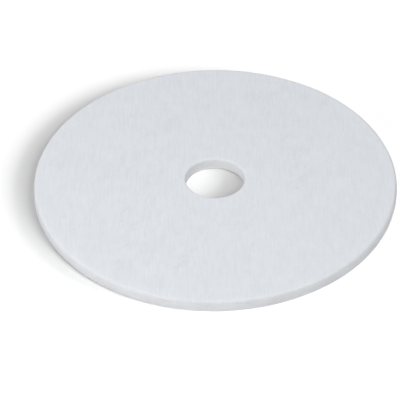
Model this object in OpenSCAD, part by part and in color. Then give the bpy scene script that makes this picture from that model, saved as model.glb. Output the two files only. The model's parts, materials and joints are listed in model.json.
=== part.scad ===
// White felt polishing pad: a flat, bonded non-woven disc with a centre hole.
// It is made as one web and bonded hard on both faces, so it has three layers:
// a dense working face on each side and a loftier core between them.
// The pad lies on its lower face. The origin is on the hole's axis, at that face.

/* [Pad] */
// Outer diameter of the pad
pad_d = 508; // [330:1:533]
// Thickness of the pad, over both faces
pad_t = 18.5; // [16:0.5:28]

/* [Centre hole] */
// Diameter of the hole that the drive board's centre lock passes through
hole_d = 82.5; // [60:0.5:90]

/* [Edges] */
// Rounding of both outer edges
rim_round = 4; // [1:0.5:6]
// Rounding of both edges of the hole
hole_round = 2.5; // [1:0.5:6]

/* [Layers] */
// Thickness of the bonded face layer on each side
face_t = 3; // [1:0.5:5]

/* [Hidden] */
$fn = 180;
pad_r = pad_d / 2;
hole_r = hole_d / 2;
core_t = pad_t - 2 * face_t;
middle_r = (pad_r + hole_r) / 2;

// One edge's two round corners, in section, centred at radius r.
module round_corners(r, rounding) {
    for (z = [rounding, pad_t - rounding])
        translate([r, z]) circle(r = rounding);
}

// Half of the whole pad in section: X is the radius and Y is the height.
module pad_section() {
    inner_r = hole_r + hole_round;
    outer_r = pad_r - rim_round;
    translate([inner_r, 0]) square([outer_r - inner_r, pad_t]);
    translate([hole_r, hole_round]) square([middle_r - hole_r, pad_t - 2 * hole_round]);
    translate([middle_r, rim_round]) square([pad_r - middle_r, pad_t - 2 * rim_round]);
    round_corners(inner_r, hole_round);
    round_corners(outer_r, rim_round);
}

// The part of the pad between two heights, as a ring.
module layer(bottom, thickness) {
    rotate_extrude()
        intersection() {
            pad_section();
            translate([0, bottom]) square([pad_d, thickness]);
        }
}

module lower_face() {
    color("#dee1e6") layer(0, face_t);
}

module core() {
    color("#d6d7d9") layer(face_t, core_t);
}

module upper_face() {
    color("#dee1e6") layer(pad_t - face_t, face_t);
}

lower_face();
core();
upper_face();
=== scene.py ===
"""A white felt polishing pad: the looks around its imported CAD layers.

The pad is one bonded web, in three layers that meet flush. Each layer is a closed ring whose section
follows its CAD layer's, with soft edges and a slight relief. Loose fibres lie on the faces, the rim and the
hole's wall.
"""
import json
import math

import bpy
import numpy as np
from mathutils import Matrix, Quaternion, Vector


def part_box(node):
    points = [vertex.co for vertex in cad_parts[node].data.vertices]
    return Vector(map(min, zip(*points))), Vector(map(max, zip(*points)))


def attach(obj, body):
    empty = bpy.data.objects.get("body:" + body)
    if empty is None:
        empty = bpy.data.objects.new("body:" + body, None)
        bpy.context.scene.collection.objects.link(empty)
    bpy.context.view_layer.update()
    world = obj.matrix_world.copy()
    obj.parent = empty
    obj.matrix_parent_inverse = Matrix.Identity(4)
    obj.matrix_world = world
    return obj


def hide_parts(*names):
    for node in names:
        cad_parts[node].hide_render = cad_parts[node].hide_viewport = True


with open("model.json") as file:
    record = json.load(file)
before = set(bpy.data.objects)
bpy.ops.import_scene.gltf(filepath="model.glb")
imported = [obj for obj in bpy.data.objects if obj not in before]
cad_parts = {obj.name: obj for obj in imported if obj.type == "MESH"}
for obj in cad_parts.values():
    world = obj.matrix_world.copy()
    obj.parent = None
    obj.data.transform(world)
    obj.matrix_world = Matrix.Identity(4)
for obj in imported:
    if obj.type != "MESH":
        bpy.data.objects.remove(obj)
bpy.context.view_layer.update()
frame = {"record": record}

# ---------------------------------------------------------------- sizes, in metres, from the frame
RIM_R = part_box("core")[1].x
TOP_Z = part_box("upper_face")[1].z
FACE_T = TOP_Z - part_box("upper_face")[0].z
HOLE_R = frame["record"]["mounts"][0]["dims"]["r_mm"] / 1000

# How far each edge's rounding reaches in across the face.
RIM_SOFT = 0.0060
HOLE_SOFT = 0.0045
# How sharp the hole's two edges are: 1 is a plain curve, and more is sharper.
UPPER_HOLE_PULL = 1.6
LOWER_HOLE_PULL = 3.0
# How far half-way up each wall stands out past the wall's ends.
RIM_BULGE = 0.0016
HOLE_BULGE = 0.0006
# The lower face's mean height: its tufts reach down from here to the floor.
LOWER_Z = 0.0003

SEGMENTS = 800  # points round the pad
FACE_RINGS = 108  # steps across a face, between its rounded edges
EDGE_RINGS = 7  # steps along each rounded edge
WALL_RINGS = 14  # rings of points up each of the core's walls
SEED = 20

# ---------------------------------------------------------------- looks
FACE_WHITE = (0.782, 0.808, 0.850)
# The rim's white: more neutral than the faces, and duller, partly as painted shade that damps the highlight
# on the rounded rim edge.
RIM_GREY_AND_SHADE = (0.744, 0.756, 0.777)
# Painted light: the hole's wall is lighter than the faces, standing in for light that reaches into the hole.
HOLE_WALL_PAINTED_LIGHT = (0.825, 0.832, 0.845)
FLOOR_WHITE = (0.93, 0.93, 0.93)
# The share of its white that the felt shows where no pattern lightens it.
PLAIN_TONE = 0.936
CLOUD_SIZE = 0.022
TUFT_SIZE = 0.0016


# ---------------------------------------------------------------- noise and relief
NOISE_SIDE = 64


def smooth_noise(points, seed):
    """Smooth noise from -1 to 1 at each point, from random values on a grid with a spacing of 1."""
    grid = np.random.default_rng(seed).uniform(-1, 1, (NOISE_SIDE,) * 3)
    cell = np.floor(points).astype(int)
    part = points - cell
    part = part * part * (3 - 2 * part)
    total = np.zeros(len(points))
    for corner in np.ndindex(2, 2, 2):
        share = np.where(corner, part, 1 - part).prod(axis=1)
        at = (cell + corner) % NOISE_SIDE
        total += share * grid[at[:, 0], at[:, 1], at[:, 2]]
    return total


def relief(points):
    """How far the felt stands proud of its plain shape at each point."""
    waves = (
        (0.00020, (0.085, 0.085, 0.085)),  # slow waves of the whole web
        (0.00010, (0.021, 0.021, 0.021)),  # thicker and thinner clouds
        (0.00006, (0.0042, 0.019, 0.0042)),  # streaks along Y, the way the web was laid
        (0.00005, (0.0036, 0.0036, 0.0036)),  # tufts
    )
    return sum(
        height * smooth_noise(points / np.array(size), SEED + i) for i, (height, size) in enumerate(waves)
    )


# ---------------------------------------------------------------- sections, as (radius, height) points
def bulge(z):
    """From 0 at the faces to 1 half-way up the pad."""
    return 1 - (2 * z / TOP_Z - 1) ** 2


def rim_r(z):
    return RIM_R - RIM_BULGE * (1 - bulge(z))


def hole_r(z):
    return HOLE_R + HOLE_BULGE * (1 - bulge(z))


def rounded(start, corner, end, pull=1.0):
    """A smooth curve from start to end that leaves and arrives in line with corner. More pull is sharper."""
    t = np.linspace(0, 1, EDGE_RINGS + 1)[:, None]
    shares = np.concatenate([(1 - t) ** 2, 2 * pull * t * (1 - t), t**2], axis=1)
    return shares @ np.array([start, corner, end]) / shares.sum(axis=1)[:, None]


def onward(radius_at, join_z, face_z):
    """Where a wall would meet a face if it ran straight on from the join."""
    return 2 * radius_at(join_z) - radius_at(2 * join_z - face_z)


def rim_edge(face_z, join_z):
    """A face layer's rounded edge at the rim, from the face to where it meets the core."""
    corner = (onward(rim_r, join_z, face_z), face_z)
    return rounded((RIM_R - RIM_SOFT, face_z), corner, (rim_r(join_z), join_z))


def hole_edge(face_z, join_z):
    """A face layer's rounded edge in the hole, from where it meets the core to the face."""
    corner = (onward(hole_r, join_z, face_z), face_z)
    pull = UPPER_HOLE_PULL if face_z > join_z else LOWER_HOLE_PULL
    return rounded((hole_r(join_z), join_z), corner, (HOLE_R + HOLE_SOFT, face_z), pull)


def face_section(face_z, join_z):
    """A face layer's open side, from where it meets the core in the hole to where it meets it at the rim."""
    r = np.linspace(HOLE_R + HOLE_SOFT, RIM_R - RIM_SOFT, FACE_RINGS + 1)[1:-1]
    flat = np.stack([r, np.full(len(r), face_z)], axis=1)
    return np.concatenate([hole_edge(face_z, join_z), flat, rim_edge(face_z, join_z)])


def wall_section(radius_at):
    """One of the core's walls, from the lower join to the upper one."""
    z = np.linspace(FACE_T, TOP_Z - FACE_T, WALL_RINGS)
    return np.stack([radius_at(z), z], axis=1)


def wall_r(z, radius_at, edge):
    """The radius of a whole wall at height z, its rounded edges included."""
    edges = edge(LOWER_Z, FACE_T), edge(TOP_Z, TOP_Z - FACE_T)
    profile = np.concatenate([wall_section(radius_at), *edges])
    profile = profile[profile[:, 1].argsort()]
    return np.interp(z, profile[:, 1], profile[:, 0])


def directions(section, side):
    """The way out of the felt at each point of a section. It is level at both ends, where layers meet."""
    along = np.gradient(section, axis=0)
    out = np.stack([-along[:, 1], along[:, 0]], axis=1) * side
    out /= np.linalg.norm(out, axis=1)[:, None]
    for end in (0, -1):
        out[end] = (np.sign(out[end, 0]), 0)
    return out


def swept(section, out):
    """Rings of points: the section turned about the pad's axis, pushed out by the relief."""
    turn = np.arange(SEGMENTS) * 2 * math.pi / SEGMENTS
    around = np.stack([np.cos(turn), np.sin(turn)], axis=1)
    rings = np.empty((len(section), SEGMENTS, 3))
    rings[:, :, :2] = section[:, None, :1] * around
    rings[:, :, 2] = section[:, 1:]
    push = relief(rings.reshape(-1, 3)).reshape(len(section), SEGMENTS, 1)
    rings[:, :, :2] += push * out[:, None, :1] * around
    rings[:, :, 2:] += push * out[:, None, 1:]
    return rings


# ---------------------------------------------------------------- meshes
def above_floor(z):
    return np.maximum(z, 0)


def ring_faces(count):
    """Quads that join count rings of points, each ring to the next and the last to the first."""
    ring, point = np.meshgrid(np.arange(count), np.arange(SEGMENTS), indexing="ij")
    next_ring, next_point = (ring + 1) % count, (point + 1) % SEGMENTS
    corners = ((ring, point), (ring, next_point), (next_ring, next_point), (next_ring, point))
    return np.stack([a * SEGMENTS + b for a, b in corners], axis=-1).reshape(-1, 4)


def new_piece(name, points, faces, material):
    mesh = bpy.data.meshes.new(name)
    mesh.from_pydata(np.asarray(points).reshape(-1, 3).tolist(), [], faces)
    mesh.materials.append(material)
    mesh.shade_smooth()
    mesh.set_sharp_from_angle(angle=math.radians(60))
    piece = bpy.data.objects.new(name, mesh)
    bpy.context.scene.collection.objects.link(piece)
    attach(piece, "root")
    return piece


def layer(name, rings, node, material):
    """A closed ring of felt that stands for one CAD layer."""
    piece = new_piece(name, rings, ring_faces(len(rings)).tolist(), material)
    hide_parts(node)
    return piece


def face_layer(name, node, face_z, join_z, side, material):
    """side is 1 on the upper face and -1 on the lower one, where the rings run the other way round."""
    section = face_section(face_z, join_z)
    rings = swept(section, directions(section, side))
    rings[:, :, 2] = above_floor(rings[:, :, 2])
    return layer(name, rings[::-side], node, material)


def core_layer(material):
    hole, rim = wall_section(hole_r), wall_section(rim_r)
    hole_rings = swept(hole, directions(hole, 1))
    rim_rings = swept(rim, directions(rim, -1))
    return layer("core_felt", np.concatenate([rim_rings, hole_rings[::-1]]), "core", material)


# ---------------------------------------------------------------- loose fibres
FIBRE_POINTS = 8
FIBRE_R = 0.00005
FIBRE_TAPER = 0.6  # the share of its radius that a fibre loses at its ends
FIBRE_BEND = 0.16  # the usual turn from one point to the next, in radians
LOOSE_SHARE = 0.25  # the share of fibres that have an end that comes away

FACE_FIBRES = 4600
RIM_FIBRES = 2600
HOLE_FIBRES = 420

# The shortest and longest fibres on the faces, and the longest on each wall.
FACE_LENGTHS = (0.010, 0.036)
RIM_LONGEST = 0.024
HOLE_LONGEST = 0.015

# How far fibres usually turn from the way the web was laid, in radians.
FACE_SWING = 0.55
WALL_SWING = 0.3

# How far a fibre may stand off the felt: its middle, and an end that comes away.
UPPER_LIFT = (0.00022, 0.0009)
LOWER_LIFT = (0.00008, 0.0001)
WALL_LIFT = (0.00020, 0.00080)


def strands(rng, count, shortest, longest, swing):
    """Gently curved flat paths about the origin, mostly along the second axis: (fibre, point, 2)."""
    bends = rng.normal(0, FIBRE_BEND, (count, FIBRE_POINTS)).cumsum(axis=1)
    heading = rng.normal(0, swing, (count, 1)) + bends
    step = rng.uniform(shortest, longest, (count, 1)) / (FIBRE_POINTS - 1)
    paths = (np.stack([np.sin(heading), np.cos(heading)], axis=2) * step[..., None]).cumsum(axis=1)
    return paths - paths.mean(axis=1, keepdims=True)


def lifts(rng, count, arch, end):
    """How far each point of each fibre stands off the felt."""
    t = np.linspace(0, 1, FIBRE_POINTS)
    middle = rng.uniform(0.2, 1, (count, 1)) * arch * np.sin(math.pi * t)
    loose = np.where(rng.random((count, 1)) < LOOSE_SHARE, rng.uniform(0.2, 1, (count, 1)) * end, 0)
    return middle + loose * t**3


def tubes(paths, up):
    """The points and faces of closed, tapered, three-sided tubes along the paths. One corner faces up."""
    along = np.gradient(paths, axis=1)
    side = np.cross(along, up)
    side /= np.linalg.norm(side, axis=2)[..., None]
    t = np.linspace(-1, 1, FIBRE_POINTS)[:, None]
    radius = FIBRE_R * (1 - FIBRE_TAPER * t**6)
    corners = [
        paths + radius * (math.sin(turn) * side + math.cos(turn) * up)
        for turn in (0, 2 * math.pi / 3, 4 * math.pi / 3)
    ]
    first = np.arange(len(paths) * FIBRE_POINTS).reshape(-1, FIBRE_POINTS) * 3
    here, ahead = first[:, :-1].ravel(), first[:, 1:].ravel()
    faces = []
    for a, b in ((0, 1), (1, 2), (2, 0)):
        faces += np.stack([here + a, here + b, ahead + b, ahead + a], axis=1).tolist()
    faces += (first[:, :1] + (2, 1, 0)).tolist()
    faces += (first[:, -1:] + (0, 1, 2)).tolist()
    return np.stack(corners, axis=2), faces


def fibre_piece(name, paths, up, material):
    points, faces = tubes(paths, up)
    points[..., 2] = above_floor(points[..., 2])
    return new_piece(name, points, faces, material)


def face_fibres(name, face_z, side, lift, material):
    """Fibres along a face, most of them the way the web was laid. side is 1 on the upper face."""
    rng = np.random.default_rng(SEED + 10 + side)
    flat = strands(rng, FACE_FIBRES, *FACE_LENGTHS, FACE_SWING)
    r = np.sqrt(rng.uniform(HOLE_R**2, RIM_R**2, FACE_FIBRES))
    turn = rng.uniform(0, 2 * math.pi, FACE_FIBRES)
    flat += np.stack([r * np.cos(turn), r * np.sin(turn)], axis=1)[:, None]
    off = lifts(rng, FACE_FIBRES, *lift)
    reach = np.linalg.norm(flat, axis=2)
    inside = (reach.min(axis=1) > HOLE_R + HOLE_SOFT) & (reach.max(axis=1) < RIM_R - RIM_SOFT)
    flat, off = flat[inside], off[inside]
    paths = np.concatenate([flat, np.full((*off.shape, 1), face_z)], axis=2)
    off += relief(paths.reshape(-1, 3)).reshape(off.shape)
    paths[..., 2] += side * off
    up = np.zeros_like(paths)
    up[..., 2] = side
    return fibre_piece(name, paths, up, material)


def wall_fibres(name, count, radius_at, edge, side, longest, material):
    """Fibres along a wall. side is 1 on the rim, which faces away from the axis, and -1 in the hole."""
    rng = np.random.default_rng(SEED + 20 + side)
    flat = strands(rng, count, longest / 3, longest, WALL_SWING)
    z = rng.uniform(0, TOP_Z, (count, 1)) + flat[..., 0]
    margin = 0.1 * FACE_T
    inside = (z.min(axis=1) > margin) & (z.max(axis=1) < TOP_Z - margin)
    surface = wall_r(z, radius_at, edge)
    turn = rng.uniform(0, 2 * math.pi, (count, 1)) + flat[..., 1] / surface
    around = np.stack([np.cos(turn), np.sin(turn), np.zeros_like(turn)], axis=2)[inside]
    surface, z = surface[inside], z[inside]
    paths = surface[..., None] * around
    paths[..., 2] = z
    off = relief(paths.reshape(-1, 3)).reshape(z.shape) + lifts(rng, len(z), *WALL_LIFT)
    paths += side * off[..., None] * around
    return fibre_piece(name, paths, side * around, material)


# ---------------------------------------------------------------- materials
class Nodes:
    """Adds and joins the nodes of one material."""

    def __init__(self, name):
        self.material = bpy.data.materials.new(name)
        self.material.use_nodes = True
        self.tree = self.material.node_tree
        self.shader = self.tree.nodes["Principled BSDF"]

    def put(self, socket, value):
        if isinstance(value, bpy.types.NodeSocket):
            self.tree.links.new(value, socket)
        else:
            socket.default_value = value

    def add(self, kind, inputs=(), **settings):
        """A new node. inputs are (name or number, value or socket) pairs."""
        node = self.tree.nodes.new("ShaderNode" + kind)
        for name, value in settings.items():
            setattr(node, name, value)
        for name, value in inputs:
            self.put(node.inputs[name], value)
        return node

    def surface(self, **inputs):
        """Sets the shader's inputs: an underscore in a name stands for a space."""
        for name, value in inputs.items():
            self.put(self.shader.inputs[name.replace("_", " ")], value)

    def math(self, operation, *values):
        return self.add("Math", list(enumerate(values)), operation=operation).outputs[0]

    def noise(self, size, turn=0.0, axis="Z_AXIS", detail=2.0):
        """Noise about 0.5 with features of that size on each axis, in metres, turned about one axis."""
        where = self.add("TexCoord").outputs["Object"]
        turned = self.add("VectorRotate", [("Vector", where), ("Angle", turn)], rotation_type=axis)
        scale = tuple(1 / s for s in size)
        place = self.add("Mapping", [("Vector", turned.outputs[0]), ("Scale", scale)]).outputs[0]
        return self.add("TexNoise", [("Vector", place), ("Scale", 1.0), ("Detail", detail)]).outputs["Fac"]

    def ramp(self, value, low, high, to_low=0.0, to_high=1.0):
        """value from low to high, mapped smoothly to to_low to to_high."""
        inputs = [("Value", value), ("From Min", low), ("From Max", high)]
        inputs += [("To Min", to_low), ("To Max", to_high)]
        return self.add("MapRange", inputs, interpolation_type="SMOOTHSTEP").outputs[0]

    def mottle(self, size):
        """Soft blotches of that size, from 0 to 1."""
        return self.ramp(self.noise(size), 0.3, 0.7)

    def thread(self, size, turn, axis):
        """Thin lines from 0 to 1 along the noise's long side: where the noise is at its middle value."""
        half_width = 0.07
        off_middle = self.math("ABSOLUTE", self.math("SUBTRACT", self.noise(size, turn, axis, 1.0), 0.5))
        return self.ramp(off_middle, 0.0, half_width, 1.0, 0.0)

    def plus(self, start, *parts):
        """start plus a share of each part. parts are (value, share) pairs."""
        total = start
        for value, share in parts:
            total = self.math("MULTIPLY_ADD", value, share, total)
        return total

    def blend(self, kind, factor, first, second):
        """Two colours, or a colour and a number, blended."""
        node = self.add("Mix", [("Factor", factor)], data_type="RGBA", blend_type=kind)
        self.put(node.inputs[6], first)
        self.put(node.inputs[7], second)
        return node.outputs[2]

    def radius(self):
        """The distance from the pad's axis."""
        where = self.add("TexCoord").outputs["Object"]
        level = self.add("VectorMath", [(0, where), (1, (1, 1, 0))], operation="MULTIPLY").outputs[0]
        return self.add("VectorMath", [(0, level)], operation="LENGTH").outputs["Value"]


def felt(name, threads, streak_size, axis):
    """White bonded fibres: bluish on the faces, and more neutral on the cut rim and the hole's wall. The
    rim's duller white is partly painted shade on its rounded edge, and the hole's wall and lip carry a
    lighter white as painted light.

    threads are the (size, turn) of each set of fibre lines, turned about axis.
    """
    n = Nodes(name)
    r = n.radius()
    # Painted shade, in part: the rim's duller white starts on the rounded rim edge, where it damps that
    # edge's highlight.
    on_rim_grey_and_shade = n.ramp(r, RIM_R - 0.8 * RIM_SOFT, RIM_R - 0.15 * RIM_SOFT)
    # Painted light: the hole's wall and its lip take the lighter hole white.
    off_painted_hole_light = n.ramp(r, HOLE_R + 0.1 * HOLE_SOFT, HOLE_R + 0.4 * HOLE_SOFT)
    white = n.blend("MIX", on_rim_grey_and_shade, (*FACE_WHITE, 1), (*RIM_GREY_AND_SHADE, 1))
    white = n.blend("MIX", off_painted_hole_light, (*HOLE_WALL_PAINTED_LIGHT, 1), white)

    streaks = n.mottle(streak_size)
    clouds = n.mottle((CLOUD_SIZE,) * 3)
    tufts = n.mottle((TUFT_SIZE,) * 3)
    fibres = 0.0
    for size, turn in threads:
        fibres = n.math("MAXIMUM", fibres, n.thread(size, turn, axis))

    tone = n.plus(PLAIN_TONE, (streaks, 0.042), (clouds, 0.016), (tufts, 0.020), (fibres, 0.035))
    colour = n.blend("MULTIPLY", 1.0, white, tone)
    high = n.plus(fibres, (streaks, 0.4), (tufts, 0.8))
    bump = n.add("Bump", [("Height", high), ("Strength", 0.5), ("Distance", 0.00012)]).outputs[0]
    n.surface(Base_Color=colour, Roughness=n.plus(0.97, (fibres, -0.10)), Normal=bump)
    n.surface(Specular_IOR_Level=0.2, Sheen_Weight=0.12, Sheen_Roughness=0.5)
    return n.material


def face_felt():
    """Fibres cross on the faces, most of them along Y."""
    fine = (0.0008, 0.014, 0.0008)
    threads = [(fine, turn) for turn in (0.12, -0.35, 0.9, -1.1)]
    return felt("face_felt", threads, (0.0026, 0.034, 0.0026), "Z_AXIS")


def core_felt():
    """Fibres lie in level layers, so their lines run along the cut walls."""
    fine = (0.012, 0.012, 0.0008)
    threads = [(fine, turn) for turn in (0.0, 0.10, -0.14)]
    return felt("core_felt", threads, (0.016, 0.016, 0.0022), "X_AXIS")


# ---------------------------------------------------------------- stage
def toward(azimuth, elevation):
    """A direction away from the pad. Azimuth 0 is the camera's side, and 90 is along +X."""
    a, e = math.radians(azimuth), math.radians(elevation)
    return Vector((math.sin(a) * math.cos(e), -math.cos(a) * math.cos(e), math.sin(e)))


def soft_light(name, kind, place, power, receivers, **settings):
    """A light that faces the pad's centre and lights only its receivers."""
    data = bpy.data.lights.new(name, kind)
    data.energy = power
    for setting, value in settings.items():
        setattr(data, setting, value)
    lamp = bpy.data.objects.new(name, data)
    lamp.location = place
    lamp.rotation_mode = "QUATERNION"
    lamp.rotation_quaternion = (-place).to_track_quat("-Z", "Y")
    bpy.context.scene.collection.objects.link(lamp)
    lit = bpy.data.collections.new(name + "_lights")
    for o in receivers:
        lit.objects.link(o)
    lamp.light_linking.receiver_collection = lit


def pad_light(name, azimuth, elevation, power):
    """Light on the pad, from a wide round lamp."""
    distance = 2.8
    place = distance * toward(azimuth, elevation)
    soft_light(name, "AREA", place, power, pad, shape="DISK", size=3.0)


def floor_light(name, azimuth, elevation, spread, power):
    """Even light on the floor, from a disc in the sky, spread degrees across. It casts the pad's shadow."""
    soft_light(name, "SUN", toward(azimuth, elevation), power, [floor], angle=math.radians(spread))


def make_floor():
    reach = 30
    mesh = bpy.data.meshes.new("floor")
    corners = [(-reach, -reach, 0), (reach, -reach, 0), (reach, reach, 0), (-reach, reach, 0)]
    mesh.from_pydata(corners, [], [(0, 1, 2, 3)])
    n = Nodes("floor_white")
    n.surface(Base_Color=(*FLOOR_WHITE, 1), Roughness=1.0, Specular_IOR_Level=0.0)
    mesh.materials.append(n.material)
    floor = bpy.data.objects.new("floor", mesh)
    bpy.context.scene.collection.objects.link(floor)
    return floor


def make_world(strength):
    """Soft white light from all round, and a plain white background for the camera."""
    world = bpy.data.worlds.new("studio")
    bpy.context.scene.world = world
    world.use_nodes = True
    nodes, links = world.node_tree.nodes, world.node_tree.links
    soft, white = nodes["Background"], nodes.new("ShaderNodeBackground")
    for background, power in ((soft, strength), (white, 1)):
        background.inputs["Strength"].default_value = power
        background.inputs["Color"].default_value = (1, 1, 1, 1)
    path = nodes.new("ShaderNodeLightPath")
    mix = nodes.new("ShaderNodeMixShader")
    links.new(path.outputs["Is Camera Ray"], mix.inputs["Fac"])
    links.new(soft.outputs[0], mix.inputs[1])
    links.new(white.outputs[0], mix.inputs[2])
    links.new(mix.outputs[0], nodes["World Output"].inputs["Surface"])


CAMERA_ELEVATION = 40.20
CAMERA_DISTANCE = 11.417 * RIM_R
CAMERA_ROLL = math.radians(-0.77)
LENS = 185.45  # the focal length, in millimetres
AIM = Vector((-0.02141, -0.02569, 0))  # the point on the floor at the middle of the view


def make_camera():
    data = bpy.data.cameras.new("camera")
    data.lens = LENS
    data.clip_start, data.clip_end = 0.1, 100
    cam = bpy.data.objects.new("camera", data)
    cam.location = CAMERA_DISTANCE * toward(0, CAMERA_ELEVATION)
    cam.rotation_mode = "QUATERNION"
    level = (AIM - cam.location).to_track_quat("-Z", "Y")
    cam.rotation_quaternion = level @ Quaternion((0, 0, 1), CAMERA_ROLL)
    bpy.context.scene.collection.objects.link(cam)
    bpy.context.scene.camera = cam


# ---------------------------------------------------------------- the pad
def make_pad():
    faces, walls = face_felt(), core_felt()
    return [
        face_layer("upper_face_felt", "upper_face", TOP_Z, TOP_Z - FACE_T, 1, faces),
        face_layer("lower_face_felt", "lower_face", LOWER_Z, FACE_T, -1, faces),
        core_layer(walls),
        face_fibres("upper_face_fibres", TOP_Z, 1, UPPER_LIFT, faces),
        face_fibres("lower_face_fibres", LOWER_Z, -1, LOWER_LIFT, faces),
        wall_fibres("rim_fibres", RIM_FIBRES, rim_r, rim_edge, 1, RIM_LONGEST, walls),
        wall_fibres("hole_fibres", HOLE_FIBRES, hole_r, hole_edge, -1, HOLE_LONGEST, walls),
    ]


pad = make_pad()
floor = make_floor()
make_world(strength=0.28)
pad_light("key", azimuth=-45, elevation=50, power=45)
pad_light("top", azimuth=0, elevation=85, power=27)
pad_light("right", azimuth=60, elevation=20, power=10.5)
floor_light("floor_left", azimuth=-90, elevation=9, spread=19, power=1.86)
floor_light("floor_top", azimuth=-90, elevation=65, spread=29, power=0.38)
floor_light("floor_front_low", azimuth=45, elevation=18, spread=22, power=2.13)
floor_light("floor_front_high", azimuth=45, elevation=42, spread=28, power=1.00)
floor_light("floor_right", azimuth=75, elevation=21, spread=22, power=2.18)
make_camera()
bpy.context.scene.view_settings.view_transform = "Standard"
